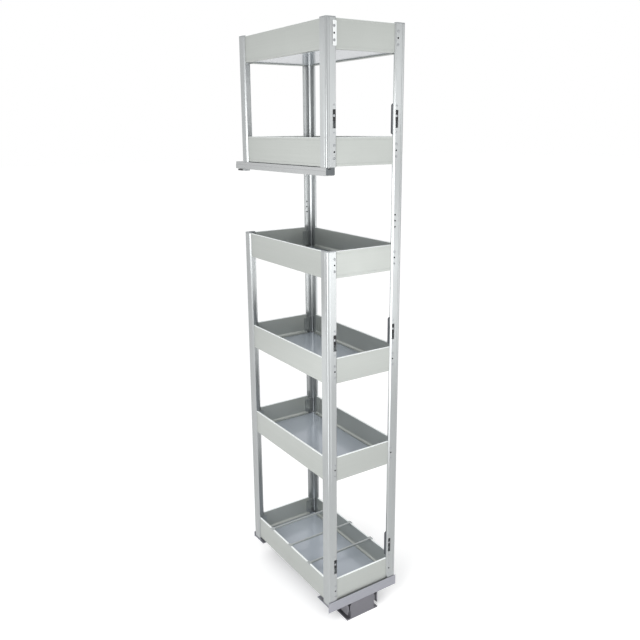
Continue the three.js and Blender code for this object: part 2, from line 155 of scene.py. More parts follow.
def only(piece):
    """Selects one piece and nothing else, so that an operator acts on it alone."""
    bpy.ops.object.select_all(action="DESELECT")
    piece.select_set(True)
    bpy.context.view_layer.objects.active = piece


def apply(piece, modifier):
    """Makes a modifier part of the mesh."""
    only(piece)
    bpy.ops.object.modifier_apply(modifier=modifier.name)


def drawn_bar(name, outline, pull):
    """Draws an outline point by point, fills it, and pulls it out into a bar."""
    bpy.ops.object.select_all(action="DESELECT")
    bpy.ops.mesh.primitive_plane_add(size=MM)
    bar = bpy.context.object
    bar.name = name
    bar.data.name = name
    bpy.ops.object.mode_set(mode="EDIT")
    bpy.ops.mesh.merge(type="CENTER")
    bpy.ops.transform.translate(value=outline[0])
    for here, there in zip(outline, outline[1:]):
        bpy.ops.mesh.extrude_vertices_move(TRANSFORM_OT_translate={"value": there - here})
    bpy.ops.mesh.select_all(action="SELECT")
    bpy.ops.mesh.edge_face_add()
    bpy.ops.mesh.extrude_region_move(TRANSFORM_OT_translate={"value": pull})
    bpy.ops.mesh.select_all(action="SELECT")
    bpy.ops.mesh.normals_make_consistent(inside=False)
    bpy.ops.object.mode_set(mode="OBJECT")
    return bar


def drilled(piece, places, radius, direction, depth):
    """Drills round holes through a piece, all in one direction, with its middle at each place."""
    turned = direction.to_track_quat("Z", "Y").to_euler()
    bpy.ops.object.select_all(action="DESELECT")
    drills = []
    for place in places:
        bpy.ops.mesh.primitive_cylinder_add(vertices=ROUND_SIDES, radius=radius, depth=depth,
                                            location=place, rotation=turned)
        drills.append(bpy.context.object)
    cut_away(piece, drills)


def cut_away(piece, cutters):
    """Takes the shapes of the cutters out of a piece, and clears the cutters away."""
    bpy.ops.object.select_all(action="DESELECT")
    for cutter in cutters:
        cutter.select_set(True)
    bpy.context.view_layer.objects.active = cutters[0]
    if len(cutters) > 1:
        bpy.ops.object.join()
    cut = piece.modifiers.new("cut", "BOOLEAN")
    cut.operation = "DIFFERENCE"
    cut.object = cutters[0]
    apply(piece, cut)
    bpy.data.objects.remove(cutters[0])


def softened(piece, width, segments=2):
    """Rounds every edge a little, as on the real piece, and smooths the shading over them. The
    broad faces keep their own normals, so that they still look flat."""
    edges = piece.modifiers.new("edges", "BEVEL")
    edges.width = width
    edges.segments = segments
    edges.limit_method = "ANGLE"
    edges.angle_limit = math.radians(EDGE_FROM)
    apply(piece, edges)
    bpy.ops.object.shade_smooth_by_angle(angle=math.radians(SMOOTH_UP_TO))
    normals = piece.modifiers.new("normals", "WEIGHTED_NORMAL")
    normals.keep_sharp = True
    apply(piece, normals)


def both_sides(right_half):
    """Completes an outline of the right half with its mirror image on the left."""
    return right_half + [(-x, z) for x, z in reversed(right_half)]


def block(name, low, high):
    """A cube primitive brought to the size and place between two corners."""
    bpy.ops.object.select_all(action="DESELECT")
    bpy.ops.mesh.primitive_cube_add(size=1, location=(Vector(low) + Vector(high)) / 2)
    piece = bpy.context.object
    piece.name = name
    piece.data.name = name
    bpy.ops.transform.resize(value=Vector(high) - Vector(low))
    bpy.ops.object.transform_apply(location=True, rotation=True, scale=True)
    return piece


runner_zinc = zinc_plate("zinc_plated_runner", ZINC_GREY, ZINC_GREY_DULL)
rail_low, rail_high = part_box("cabinet_rail")
rail_inside = RAIL_BOX_HALF - RAIL_WALL
hat = both_sides([
    (rail_inside, rail_high.z - RAIL_WALL),
    (rail_inside, 0),
    (rail_high.x, 0),
    (rail_high.x, FLANGE_THICKNESS),
    (RAIL_BOX_HALF, FLANGE_THICKNESS),
    (RAIL_BOX_HALF, TRACK_LOW),
    (RAIL_BOX_HALF + TRACK_OUT, TRACK_LOW),
    (RAIL_BOX_HALF + TRACK_OUT, TRACK_HIGH),
    (RAIL_BOX_HALF, TRACK_HIGH),
    (RAIL_BOX_HALF, rail_high.z),
])
rail_run = Vector((0, rail_high.y - rail_low.y, 0))
cabinet_rail = drawn_bar("floor_rail", [Vector((x, rail_low.y, z)) for x, z in hat], rail_run)
screw_line = (RAIL_BOX_HALF + rail_high.x) / 2
rail_middle = (rail_low.y + rail_high.y) / 2
drilled(cabinet_rail,
        [(side * screw_line, rail_middle + step * FLOOR_SCREW_STEP, FLANGE_THICKNESS / 2)
         for side in (-1, 1) for step in (-1, 0, 1)],
        FLOOR_SCREW_HOLE / 2, Vector((0, 0, 1)), DRILL_LENGTHS * FLANGE_THICKNESS)
softened(cabinet_rail, STEEL_EDGE)
front_plate = block("floor_rail_front_plate", (-rail_inside, rail_low.y, FRONT_PLATE_OFF_FLOOR),
                    (rail_inside, rail_low.y + RAIL_WALL, rail_high.z - RAIL_WALL))
softened(front_plate, STEEL_EDGE)
for piece in (cabinet_rail, front_plate):
    piece.data.materials.append(runner_zinc)
    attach(piece, "cabinet_rail")
    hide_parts("cabinet_rail")


# ---- Middle members ---------------------------------------------------------------------
# Two rolled steel bars of I-section run between the cabinet rail and the carriage, and move
# half as far as the larder. They are plated like the rail and have slightly rounded flanges.
MIDDLE_WEB = 3 * MM
MIDDLE_FLANGE = 3 * MM

for side_name, side in (("left", -1), ("right", 1)):
    node = f"runner_middle_{side_name}"
    low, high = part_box(node)
    middle = (low.x + high.x) / 2
    web = MIDDLE_WEB / 2
    i_section = [
        (low.x, low.z), (high.x, low.z), (high.x, low.z + MIDDLE_FLANGE),
        (middle + web, low.z + MIDDLE_FLANGE), (middle + web, high.z - MIDDLE_FLANGE),
        (high.x, high.z - MIDDLE_FLANGE), (high.x, high.z), (low.x, high.z),
        (low.x, high.z - MIDDLE_FLANGE), (middle - web, high.z - MIDDLE_FLANGE),
        (middle - web, low.z + MIDDLE_FLANGE), (low.x, low.z + MIDDLE_FLANGE),
    ]
    bar = drawn_bar(f"middle_member_{side_name}", [Vector((x, low.y, z)) for x, z in i_section],
                    Vector((0, high.y - low.y, 0)))
    softened(bar, STEEL_EDGE)
    bar.data.materials.append(runner_zinc)
    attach(bar, node)
    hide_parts(node)


# ---- Carriage ---------------------------------------------------------------------------
# An inverted channel of zinc-plated sheet that hangs over the rail and carries the frame. Each
# wall has a track pressed inwards, and its top is screwed up to the two cross members.
low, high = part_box("runner_carriage")
carriage_inside = high.x - RAIL_WALL
channel = both_sides([
    (carriage_inside, high.z - RAIL_WALL),
    (carriage_inside, TRACK_HIGH),
    (carriage_inside - TRACK_OUT, TRACK_HIGH),
    (carriage_inside - TRACK_OUT, TRACK_LOW),
    (carriage_inside, TRACK_LOW),
    (carriage_inside, low.z),
    (high.x, low.z),
    (high.x, high.z),
])
carriage = drawn_bar("carriage", [Vector((x, low.y, z)) for x, z in channel],
                     Vector((0, high.y - low.y, 0)))
softened(carriage, STEEL_EDGE)
carriage.data.materials.append(runner_zinc)
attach(carriage, "larder")
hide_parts("runner_carriage")


# ---- Cross members ----------------------------------------------------------------------
# Two strips of 3 mm plate that the posts stand on, one in front and one behind. Each has a lip
# over the feet of its posts, and the front lip also hangs down to hide the runner.
LIP_THICKNESS = 2 * MM
PLATE_THICKNESS = 3 * MM
LIP_TO_FACE = 0.3 * MM
STRIP_GREY = "#9fa0a6"
STRIP_GREY_DULL = "#94959d"
carriage_top = high.z
strip_zinc = zinc_plate("zinc_plated_strip", STRIP_GREY, STRIP_GREY_DULL)

for node, toward in (("front_cross_member", 1), ("rear_cross_member", -1)):
    low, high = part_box(node)
    outer, inner = (low.y, high.y) if toward > 0 else (high.y, low.y)
    strip_low = carriage_top + LIP_TO_FACE
    strip_high = strip_low + PLATE_THICKNESS
    lip_back = outer + toward * LIP_THICKNESS
    profile = [
        (outer, low.z), (lip_back, low.z), (lip_back, strip_low), (inner, strip_low),
        (inner, strip_high), (lip_back, strip_high), (lip_back, high.z), (outer, high.z),
    ]
    strip = drawn_bar(node.replace("cross_member", "base_strip"),
                      [Vector((low.x, y, z)) for y, z in profile], Vector((high.x - low.x, 0, 0)))
    softened(strip, STEEL_EDGE)
    strip.data.materials.append(strip_zinc)
    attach(strip, "larder")
    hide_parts(node)


# ---- Corner posts -----------------------------------------------------------------------
# Extruded aluminium angles with a rounded corner, faces that slope down to the tray panels, and
# a fine shadow line beside the corner. The satin anodising is a pale silver with soft streaks
# along the extrusion. A thin moulded cap closes the upper end of each post.
POST_LEG = 32 * MM
POST_WALL = 7.5 * MM
POST_CORNER = 5 * MM
POST_CORNER_STEPS = 8
AT_THE_EDGE = 0.1 * MM
POST_INNER_CHAMFER = 4 * MM
POST_SLOPE = 3.5 * MM
POST_SLOPE_DEPTH = 4 * MM
SHADOW_LINE = 10 * MM
SHADOW_LINE_HALF = 0.7 * MM
SHADOW_LINE_DEPTH = 0.6 * MM
INNER_GROOVES = (29 * MM, 18 * MM)
END_CAP = 2.5 * MM
FIXING_FROM_CORNER = 24 * MM
FIXING_HOLE = 5 * MM
FIXING_PITCH = 16.5 * MM
SPARE_SET_ABOVE = 102.5 * MM
SLOT_WIDTH = 9 * MM
SLOT_HEIGHT = 46 * MM
ALUMINIUM_EDGE = 0.35 * MM
END_FACING = 0.9  # share of a face's normal along the post, from which it is a sawn end
WALL_FACING = 0.5  # share of a face's normal along the drill, up to which it is a hole's wall
ANODISED_LIGHT = "#a9acac"
ANODISED_DARK = "#a0a3a4"
DIE_LINE = 1.6 * MM
DIE_LINE_RUN = 400 * MM
DIE_LINE_BUMP = 0.05
FINE_RELIEF = 0.1 * MM
GLOSS_PATCH = 90 * MM
GLOSS_DRIFT = 0.05
POST_ROUGHNESS = 0.3
POST_METALLIC = 0.9
# Painted shade: the dark greys given to the walls inside the fixing holes
HOLE_SHADE_GREY = "#4e5153"
HOLE_SHADE_DARK = "#3c3e40"
SAWN_LIGHT = "#b6babc"
SAWN_DARK = "#9ea2a4"
SAW_MARK = 1.2 * MM
SAW_BUMP = 0.1
SAWN_ROUGHNESS = 0.55
SPARK_GRAIN = 0.6 * MM
SPARK_BUMP = 0.15
MOULD_PATCH = 12 * MM
MOULD_DRIFT = 0.06
MOULDED_ROUGHNESS = 0.5
MOULDED_IOR = 1.5
HOLE_SHADE_ROUGHNESS = 0.6
CAP_PALE = "#9a9ea0"
CAP_PALE_WORN = "#8c9092"


def anodised(name, along, light, dark, roughness, metallic):
    """Satin anodised aluminium: die lines run along the bar as faint streaks in tone, gloss
    and relief. The real lines are finer than the picture shows, so they are drawn coarser."""
    finish, tree, place = new_finish(name)
    stretch = [1 / DIE_LINE_RUN if axis == along else 1 / DIE_LINE for axis in "XYZ"]
    run = add_node(tree, "Mapping", {"Scale": stretch}, {"Vector": place})
    lines = add_node(tree, "TexNoise", {"Scale": 1, "Detail": 3}, {"Vector": run.outputs["Vector"]})
    drift = add_node(tree, "TexNoise", {"Scale": 1 / GLOSS_PATCH, "Detail": 1}, {"Vector": place})
    tone = add_node(tree, "Mix", {"A": linear(dark), "B": linear(light)},
                    {"Factor": lines.outputs["Fac"]}, data_type="RGBA")
    gloss = add_node(tree, "MapRange",
                     {"To Min": roughness - GLOSS_DRIFT, "To Max": roughness + GLOSS_DRIFT},
                     {"Value": drift.outputs["Fac"]})
    relief = add_node(tree, "Bump", {"Strength": DIE_LINE_BUMP, "Distance": FINE_RELIEF},
                      {"Height": lines.outputs["Fac"]})
    shader = add_node(tree, "BsdfPrincipled", {"Metallic": metallic},
                      {"Base Color": tone.outputs["Result"], "Roughness": gloss.outputs["Result"],
                       "Normal": relief.outputs["Normal"]})
    close_finish(tree, shader)
    return finish


def sawn_aluminium():
    """The sawn end of an extrusion: duller than its faces, with fine arcs left by the blade."""
    finish, tree, place = new_finish("sawn_aluminium")
    arcs = add_node(tree, "TexWave", {"Scale": 1 / SAW_MARK, "Distortion": 3, "Detail": 2},
                    {"Vector": place})
    tone = add_node(tree, "Mix", {"A": linear(SAWN_DARK), "B": linear(SAWN_LIGHT)},
                    {"Factor": arcs.outputs["Fac"]}, data_type="RGBA")
    relief = add_node(tree, "Bump", {"Strength": SAW_BUMP, "Distance": FINE_RELIEF},
                      {"Height": arcs.outputs["Fac"]})
    shader = add_node(tree, "BsdfPrincipled", {"Metallic": POST_METALLIC, "Roughness": SAWN_ROUGHNESS},
                      {"Base Color": tone.outputs["Result"], "Normal": relief.outputs["Normal"]})
    close_finish(tree, shader)
    return finish


def rounded(piece, radius, segments, wanted):
    """Rounds the edges of a piece whose two ends both pass the test."""
    only(piece)
    bpy.ops.object.mode_set(mode="EDIT")
    bpy.ops.mesh.select_all(action="DESELECT")
    bpy.ops.object.mode_set(mode="OBJECT")
    for edge in piece.data.edges:
        edge.select = all(wanted(piece.data.vertices[v].co) for v in edge.vertices)
    bpy.ops.object.mode_set(mode="EDIT")
    bpy.ops.mesh.select_mode(type="EDGE")
    bpy.ops.mesh.bevel(offset=radius, segments=segments)
    bpy.ops.mesh.select_mode(type="VERT")
    bpy.ops.object.mode_set(mode="OBJECT")


def darkened_holes(piece, finish, places):
    """Colours the walls of fixing holes, which run along Y, dark grey: painted shade inside the holes.
    """
    piece.data.materials.append(finish)
    index = len(piece.data.materials) - 1
    for polygon in piece.data.polygons:
        near_hole = any((polygon.center.xz - place.xz).length < FIXING_HOLE for place in places)
        if near_hole and abs(polygon.normal.y) < WALL_FACING:
            polygon.material_index = index


def moulded(name, light, dark, roughness):
    """A moulded or cast surface: dull, with a fine grain that breaks up the highlights and slow
    drifts in tone and gloss. It serves the plastics, the cast zinc and the painted shade in the holes."""
    finish, tree, place = new_finish(name)
    grain = add_node(tree, "TexNoise", {"Scale": 1 / SPARK_GRAIN, "Detail": 2}, {"Vector": place})
    drift = add_node(tree, "TexNoise", {"Scale": 1 / MOULD_PATCH, "Detail": 2}, {"Vector": place})
    tone = add_node(tree, "Mix", {"A": linear(dark), "B": linear(light)},
                    {"Factor": drift.outputs["Fac"]}, data_type="RGBA")
    gloss = add_node(tree, "MapRange",
                     {"To Min": roughness - MOULD_DRIFT, "To Max": roughness + MOULD_DRIFT},
                     {"Value": drift.outputs["Fac"]})
    relief = add_node(tree, "Bump", {"Strength": SPARK_BUMP, "Distance": FINE_RELIEF},
                      {"Height": grain.outputs["Fac"]})
    shader = add_node(tree, "BsdfPrincipled", {"IOR": MOULDED_IOR},
                      {"Base Color": tone.outputs["Result"], "Roughness": gloss.outputs["Result"],
                       "Normal": relief.outputs["Normal"]})
    close_finish(tree, shader)
    return finish


anodised_upright = anodised("anodised_aluminium_upright", "Z", ANODISED_LIGHT, ANODISED_DARK,
                            POST_ROUGHNESS, POST_METALLIC)
sawn_end = sawn_aluminium()
cap_plastic = moulded("moulded_post_cap", CAP_PALE, CAP_PALE_WORN, MOULDED_ROUGHNESS)
# The walls inside the holes are coloured near-black as painted shade, so the holes read as dark dots
hole_wall_shade = moulded("oily_drilled_wall", HOLE_SHADE_GREY, HOLE_SHADE_DARK, HOLE_SHADE_ROUGHNESS)
tray_boxes = [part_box(f"tray_{number}_front_panel") for number in range(1, 7)]
fixing_sets = [(low.z + high.z) / 2 for low, high in tray_boxes]
spare_set = fixing_sets[2] + SPARE_SET_ABOVE
slot_boxes = [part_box(f"door_bracket_{level}_left") for level in ("top", "middle", "bottom")]
slot_middles = [(low.z + high.z) / 2 for low, high in slot_boxes]

posts = [
    ("front_left_upper_post", 1, 1), ("front_left_lower_post", 1, 1),
    ("rear_left_upper_post", 1, -1), ("rear_left_lower_post", 1, -1),
    ("front_right_post", -1, 1), ("rear_right_post", -1, -1),
]
for node, toward_x, toward_y in posts:
    low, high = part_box(node)
    corner = Vector((low.x if toward_x > 0 else high.x, low.y if toward_y > 0 else high.y))
    leg_half = [
        (SHADOW_LINE - SHADOW_LINE_HALF, 0), (SHADOW_LINE, SHADOW_LINE_DEPTH),
        (SHADOW_LINE + SHADOW_LINE_HALF, 0), (POST_LEG - POST_SLOPE, 0),
        (POST_LEG, POST_SLOPE_DEPTH), (POST_LEG, POST_WALL),
    ]
    for groove in INNER_GROOVES:
        leg_half += [
            (groove + SHADOW_LINE_HALF, POST_WALL), (groove, POST_WALL - SHADOW_LINE_DEPTH),
            (groove - SHADOW_LINE_HALF, POST_WALL),
        ]
    leg_half.append((POST_WALL + POST_INNER_CHAMFER, POST_WALL))
    section = [(0, 0)] + leg_half + [(v, u) for u, v in reversed(leg_half)]
    plan = [(corner.x + toward_x * u, corner.y + toward_y * v) for u, v in section]
    cap_seat = high.z - END_CAP
    post = drawn_bar(f"{node}_extrusion", [Vector((x, y, low.z)) for x, y in plan],
                     Vector((0, 0, cap_seat - low.z)))
    cap = drawn_bar(f"{node}_cap", [Vector((x, y, cap_seat)) for x, y in plan], Vector((0, 0, END_CAP)))
    for piece in (post, cap):
        rounded(piece, POST_CORNER, POST_CORNER_STEPS,
                lambda end: (end.xy - corner).length < AT_THE_EDGE)
    sets = fixing_sets + ([spare_set] if "right" in node else [])
    heights = [centre + step * FIXING_PITCH for centre in sets for step in (-1, 0, 1)
               if low.z < centre < high.z]
    hole_x = corner.x + toward_x * FIXING_FROM_CORNER
    wall_y = corner.y + toward_y * POST_WALL / 2
    holes = [Vector((hole_x, wall_y, z)) for z in heights]
    drilled(post, holes, FIXING_HOLE / 2, Vector((0, 1, 0)), DRILL_LENGTHS * POST_WALL)
    if node.startswith("front"):
        reach = Vector((SLOT_WIDTH / 2, POST_WALL, SLOT_HEIGHT / 2))
        slots = [Vector((hole_x, wall_y, z)) for z in slot_middles if low.z < z < high.z]
        cut_away(post, [block("slot", slot - reach, slot + reach) for slot in slots])
    softened(post, ALUMINIUM_EDGE)
    post.data.materials.append(anodised_upright)
    post.data.materials.append(sawn_end)
    for polygon in post.data.polygons:
        if abs(polygon.normal.z) > END_FACING:
            polygon.material_index = 1
    # Painted shade: the walls of the fixing holes are coloured near-black
    darkened_holes(post, hole_wall_shade, holes)
    softened(cap, ALUMINIUM_EDGE)
    cap.data.materials.append(cap_plastic)
    for piece, slot_name in ((post, "anodised_aluminium"), (cap, "grey_plastic")):
        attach(piece, "larder")
        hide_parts(node)


# ---- Tray panels ------------------------------------------------------------------------
# Four lengths of one extrusion to a tray, with a groove for the floor board under a hollow ledge.
# Front and rear lengths have a tongue at each end, behind the posts. The anodising is a little
# warmer than on the posts. A paler colour on the upward faces of the upper edge is a painted
# highlight that draws a light line round each tray.
PANEL_WALL = 6 * MM
PANEL_TOP_ROUND = 1.2 * MM
LEDGE_REACH = 7 * MM
LEDGE_RISE = 9 * MM
LEDGE_LIP = 2.7 * MM
COVE_STEPS = 8
COVE_HOLLOW = 0.85
FLOOR_FLANGE = 2.7 * MM
BOARD_THICKNESS = 4 * MM
BOARD_GAP = 0.3 * MM
TONGUE_THICKNESS = 4 * MM
TONGUE_ROOT = 10 * MM
TONGUE_ABOVE_GROOVE = 3 * MM
TONGUE_BELOW_TOP = 12 * MM
PRESS_LINES = (7 * MM, 66 * MM)
PRESS_LINE_HALF = 0.4 * MM
PRESS_LINE_DEPTH = 0.35 * MM
PANEL_LIGHT = "#b1b4b1"
PANEL_DARK = "#a8aca8"
# Painted highlight: paler colours for the upward faces of each panel's upper edge
RIM_HIGHLIGHT_PALE = "#eff3f2"
RIM_HIGHLIGHT_DIM = "#e6eaea"
RIM_FACING = 0.2  # share of a face's normal upwards, from which it gets the painted highlight
PANEL_ROUGHNESS = 0.4
PANEL_METALLIC = 0.7
RIM_ROUGHNESS = 0.5
RIM_METALLIC = 0.2

groove_low = FLOOR_FLANGE
groove_high = FLOOR_FLANGE + BOARD_THICKNESS + 2 * BOARD_GAP


def panel_outline(height):
    """The extrusion's section as (inward, up) from the lower edge of its outer face."""
    reach = PANEL_WALL + LEDGE_REACH
    ledge_edge = groove_high + LEDGE_LIP
    cove = []
    for step in range(1, COVE_STEPS):
        turn = math.pi / 2 * step / COVE_STEPS
        hollow = Vector((1 - math.sin(turn), 1 - math.cos(turn)))
        straight = Vector((1 - step / COVE_STEPS, step / COVE_STEPS))
        inward, up = straight.lerp(hollow, COVE_HOLLOW)
        cove.append((PANEL_WALL + LEDGE_REACH * inward, ledge_edge + LEDGE_RISE * up))
    outer_face = []
    for line in reversed(PRESS_LINES):
        outer_face += [
            (0, line + PRESS_LINE_HALF), (PRESS_LINE_DEPTH, line), (0, line - PRESS_LINE_HALF),
        ]
    return [
        (0, 0), (reach, 0), (reach, groove_low), (PANEL_WALL, groove_low), (PANEL_WALL, groove_high),
        (reach, groove_high), (reach, ledge_edge), *cove, (PANEL_WALL, ledge_edge + LEDGE_RISE),
        (PANEL_WALL, height - PANEL_TOP_ROUND), (PANEL_WALL - PANEL_TOP_ROUND, height),
        (PANEL_TOP_ROUND, height), (0, height - PANEL_TOP_ROUND),
    ] + outer_face


def paint_rim_highlight(panel, finish, top):
    """Paints a highlight on a panel's upper edge: its upward faces get a paler, less metallic colour.
    """
    panel.data.materials.append(finish)
    for polygon in panel.data.polygons:
        if polygon.normal.z > RIM_FACING and polygon.center.z > top - 2 * PANEL_TOP_ROUND:
            polygon.material_index = 1


def copied(piece, name, shift):
    """A copy of a finished piece with its own mesh, moved to its place."""
    only(piece)
    bpy.ops.object.duplicate_move(TRANSFORM_OT_translate={"value": shift})
    copy = bpy.context.object
    copy.name = name
    copy.data.name = name
    bpy.ops.object.transform_apply(location=True, rotation=True, scale=True)
    return copy


panels_along_y = anodised("anodised_tray_side", "Y", PANEL_LIGHT, PANEL_DARK,
                          PANEL_ROUGHNESS, PANEL_METALLIC)
panels_along_x = anodised("anodised_tray_end", "X", PANEL_LIGHT, PANEL_DARK,
                          PANEL_ROUGHNESS, PANEL_METALLIC)
# Painted highlight: a pale, less metallic finish for the top faces of the panel rims
rim_highlight_paint = anodised("ground_tray_rim", "X", RIM_HIGHLIGHT_PALE, RIM_HIGHLIGHT_DIM, RIM_ROUGHNESS, RIM_METALLIC)
patterns = {}
for side_name, inward in (("left", 1), ("right", -1)):
    low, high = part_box(f"tray_1_{side_name}_panel")
    face = low.x if inward > 0 else high.x
    section = panel_outline(high.z - low.z)
    side_panel = drawn_bar(f"tray_{side_name}_pattern",
                           [Vector((face + inward * u, low.y, low.z + v)) for u, v in section],
                           Vector((0, high.y - low.y, 0)))
    softened(side_panel, ALUMINIUM_EDGE)
    side_panel.data.materials.append(panels_along_y)
    paint_rim_highlight(side_panel, rim_highlight_paint, high.z)
    patterns[side_name] = side_panel

for end_name, inward in (("front", 1), ("rear", -1)):
    low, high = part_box(f"tray_1_{end_name}_panel")
    post_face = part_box("front_right_post")[0].y if inward > 0 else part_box("rear_right_post")[1].y
    half_length = -(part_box("front_left_upper_post")[1].x) - BOARD_GAP
    face = post_face + inward * POST_SLOPE_DEPTH
    section = panel_outline(high.z - low.z)
    end_panel = drawn_bar(f"tray_{end_name}_pattern",
                          [Vector((-half_length, face + inward * u, low.z + v)) for u, v in section],
                          Vector((2 * half_length, 0, 0)))
    softened(end_panel, ALUMINIUM_EDGE)
    end_panel.data.materials.append(panels_along_x)
    paint_rim_highlight(end_panel, rim_highlight_paint, high.z)
    tongue_front = post_face + inward * (POST_WALL + BOARD_GAP)
    tongue_back = tongue_front + inward * TONGUE_THICKNESS
    tongue_low = low.z + groove_high + TONGUE_ABOVE_GROOVE
    for side in (-1, 1):
        root = (side * (half_length - TONGUE_ROOT), tongue_front, tongue_low)
        tip = (side * high.x, tongue_back, high.z - TONGUE_BELOW_TOP)
        tongue = block("tongue", list(map(min, root, tip)), list(map(max, root, tip)))
        softened(tongue, ALUMINIUM_EDGE)
        tongue.data.materials.append(anodised_upright)
        only(end_panel)
        tongue.select_set(True)
        bpy.ops.object.join()
    patterns[end_name] = end_panel


# ---- Floor boards -----------------------------------------------------------------------
# A 4 mm composite board with a hard grey lacquer slides into the grooves of each tray. The
# lacquer is smooth and glossy, so the posts and walls are mirrored in it a little softly.
BOARD_CORNER = 6 * MM
LACQUER_GREY = "#b0b7bf"
LACQUER_GREY_DEEP = "#a8afb8"
ORANGE_PEEL = 4 * MM
ORANGE_PEEL_BUMP = 0.02
LACQUER_PATCH = 120 * MM
LACQUER_GLOSSY = 0.12
LACQUER_DULL = 0.2
LACQUER_METALLIC = 0.2
LACQUER_IOR = 1.55


def lacquer():
    """Grey lacquer over a flat board: very faint orange peel, nearly even in tone."""
    finish, tree, place = new_finish("grey_lacquered_board")
    peel = add_node(tree, "TexNoise", {"Scale": 1 / ORANGE_PEEL, "Detail": 2}, {"Vector": place})
    patches = add_node(tree, "TexNoise", {"Scale": 1 / LACQUER_PATCH, "Detail": 2}, {"Vector": place})
    tone = add_node(tree, "Mix", {"A": linear(LACQUER_GREY_DEEP), "B": linear(LACQUER_GREY)},
                    {"Factor": patches.outputs["Fac"]}, data_type="RGBA")
    gloss = add_node(tree, "MapRange", {"To Min": LACQUER_GLOSSY, "To Max": LACQUER_DULL},
                     {"Value": patches.outputs["Fac"]})
    relief = add_node(tree, "Bump", {"Strength": ORANGE_PEEL_BUMP, "Distance": FINE_RELIEF},
                      {"Height": peel.outputs["Fac"]})
    shader = add_node(tree, "BsdfPrincipled", {"Metallic": LACQUER_METALLIC, "IOR": LACQUER_IOR},
                      {"Base Color": tone.outputs["Result"], "Roughness": gloss.outputs["Result"],
                       "Normal": relief.outputs["Normal"]})
    close_finish(tree, shader)
    return finish


low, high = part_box("tray_1_floor")
cut = BOARD_CORNER
board_plan = [
    (low.x, low.y + cut), (low.x + cut, low.y), (high.x - cut, low.y), (high.x, low.y + cut),
    (high.x, high.y - cut), (high.x - cut, high.y), (low.x + cut, high.y), (low.x, high.y - cut),
]
board = drawn_bar("tray_board_pattern", [Vector((x, y, low.z)) for x, y in board_plan],
                  Vector((0, 0, high.z - low.z)))
softened(board, ALUMINIUM_EDGE)
board.data.materials.append(lacquer())
patterns["floor"] = board

for number, (low, high) in enumerate(tray_boxes, 1):
    drop = Vector((0, 0, low.z - tray_boxes[0][0].z))
    for part, pattern in patterns.items():
        node = f"tray_{number}_{part}" if part == "floor" else f"tray_{number}_{part}_panel"
        piece = copied(pattern, node.replace("panel", "wall").replace("floor", "board"), drop)
        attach(piece, "larder")
        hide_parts(node)
for pattern in patterns.values():
    bpy.data.objects.remove(pattern)


# ---- Tray screws ------------------------------------------------------------------------
# Two cross-head screws with low domed heads hold each tray corner to the tongues behind the
# posts, with a free hole between them. They are bright zinc-plated steel. A thin plate lies
# under the screws of one corner of the top tray.
TRAY_SCREW_HEAD = 7.2 * MM
TRAY_SCREW_DOME = 1.1 * MM
SCREW_RIM = 0.3 * MM
CROSS_SLOT = 0.9 * MM
CROSS_DEPTH = 0.8 * MM
CROSS_REACH = 0.55  # of the head's radius
CROSS_DEEPEST = 0.8  # of the dome
HEAD_SHOULDER = (0.85, 0.6)  # of the head's radius and of the dome
HEAD_CROWN = (0.5, 0.9)
STEEL_DRIFT = 0.06
SCREW_ROUGHNESS = 0.3
SCREW_SPECKLE = 3 * MM
SCREW_STEEL = "#b4b7b9"
SCREW_STEEL_WORN = "#8f9294"
CORNER_PLATE_FROM_CORNER = 19.5 * MM
CORNER_PLATE_WIDTH = 12 * MM
CORNER_PLATE_HEIGHT = 59 * MM
CORNER_PLATE_THICKNESS = 0.9 * MM
CORNER_PLATE_ROUND = 3 * MM
CORNER_PLATE_STEPS = 5
CORNER_PLATE_DRILL = 5 * MM
PLATE_EDGE = 0.2 * MM
PLATE_LIGHT = "#e8ebeb"
PLATE_DARK = "#e0e3e3"
PLATE_ROUGHNESS = 0.5
PLATE_METALLIC = 0.5


def bright_steel(name, light, dark, roughness, speckle, metallic=1):
    """Bright plated steel: hard highlights, with a slight unevenness from handling."""
    finish, tree, place = new_finish(name)
    wear = add_node(tree, "TexNoise", {"Scale": 1 / speckle, "Detail": 3}, {"Vector": place})
    tone = add_node(tree, "Mix", {"A": linear(dark), "B": linear(light)},
                    {"Factor": wear.outputs["Fac"]}, data_type="RGBA")
    gloss = add_node(tree, "MapRange",
                     {"To Min": roughness - STEEL_DRIFT, "To Max": roughness + STEEL_DRIFT},
                     {"Value": wear.outputs["Fac"]})
    shader = add_node(tree, "BsdfPrincipled", {"Metallic": metallic},
                      {"Base Color": tone.outputs["Result"], "Roughness": gloss.outputs["Result"]})
    close_finish(tree, shader)
    return finish


def turned_piece(name, half_profile):
    """Turns a half profile of (radius, depth) points round the Y axis, as on a lathe."""
    bpy.ops.object.select_all(action="DESELECT")
    bpy.ops.mesh.primitive_plane_add(size=MM)
    piece = bpy.context.object
    piece.name = name
    piece.data.name = name
    points = [Vector((radius, depth, 0)) for radius, depth in half_profile]
    bpy.ops.object.mode_set(mode="EDIT")
    bpy.ops.mesh.merge(type="CENTER")
    bpy.ops.transform.translate(value=points[0])
    for here, there in zip(points, points[1:]):
        bpy.ops.mesh.extrude_vertices_move(TRANSFORM_OT_translate={"value": there - here})
    bpy.ops.mesh.select_all(action="SELECT")
    bpy.ops.mesh.spin(steps=ROUND_SIDES, angle=2 * math.pi, center=(0, 0, 0), axis=(0, 1, 0))
    bpy.ops.mesh.select_all(action="SELECT")
    bpy.ops.mesh.remove_doubles(threshold=0.01 * MM)
    bpy.ops.mesh.normals_make_consistent(inside=False)
    bpy.ops.object.mode_set(mode="OBJECT")
    return piece


